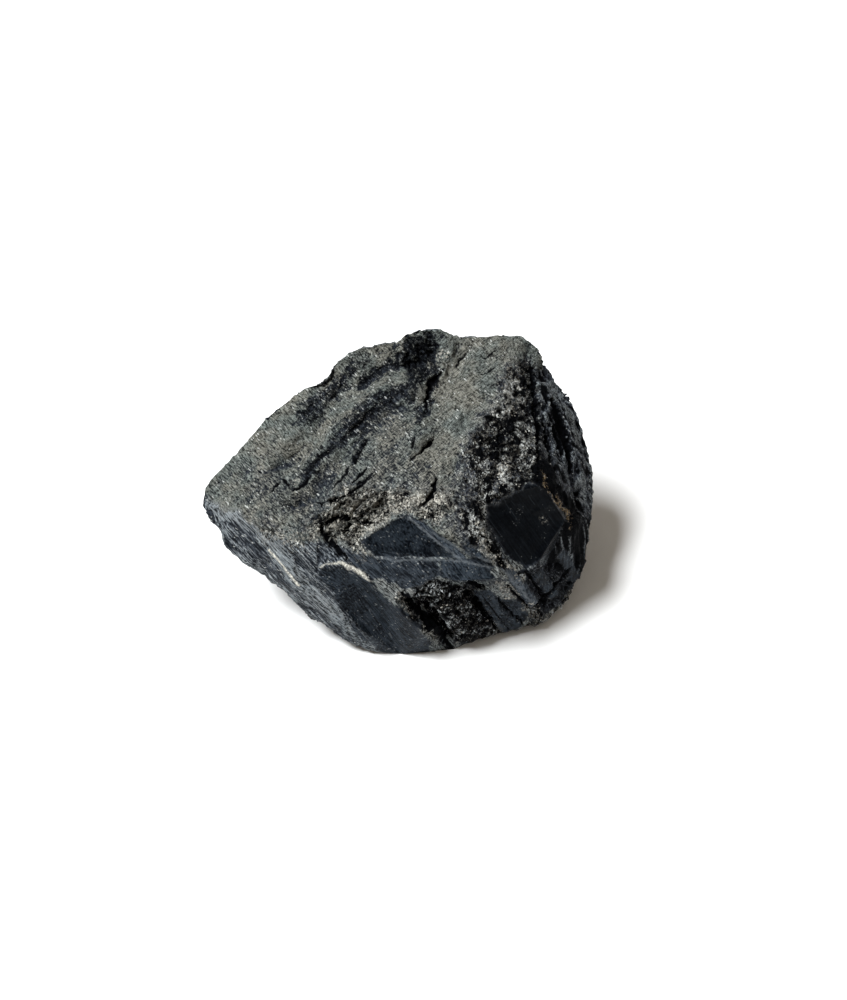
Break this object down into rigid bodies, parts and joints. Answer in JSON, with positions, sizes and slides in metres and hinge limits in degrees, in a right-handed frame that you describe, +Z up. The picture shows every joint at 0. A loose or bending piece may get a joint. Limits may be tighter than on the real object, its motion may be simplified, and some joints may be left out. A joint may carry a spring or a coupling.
{
  "type": "rough black tourmaline",
  "caption": "Rough broken chunk of black tourmaline (schorl), dusty and stepped on top, glassy and striated down its sides, that lies on a flat broken base.",
  "frame": {"origin": "middle of the chunk's outline seen from above, on the surface that it rests on", "axes": "+X along the chunk's length towards its thick end, +Y towards the high back, +Z up"},
  "size_m": [0.062, 0.041, 0.036],
  "materials": {
    "schorl": "black schorl, satin and striated on its prism faces, dusty grey-green on its broken top"
  },
  "bodies": {
    "root": {"tourmaline": "schorl"}
  },
  "joints": []
}
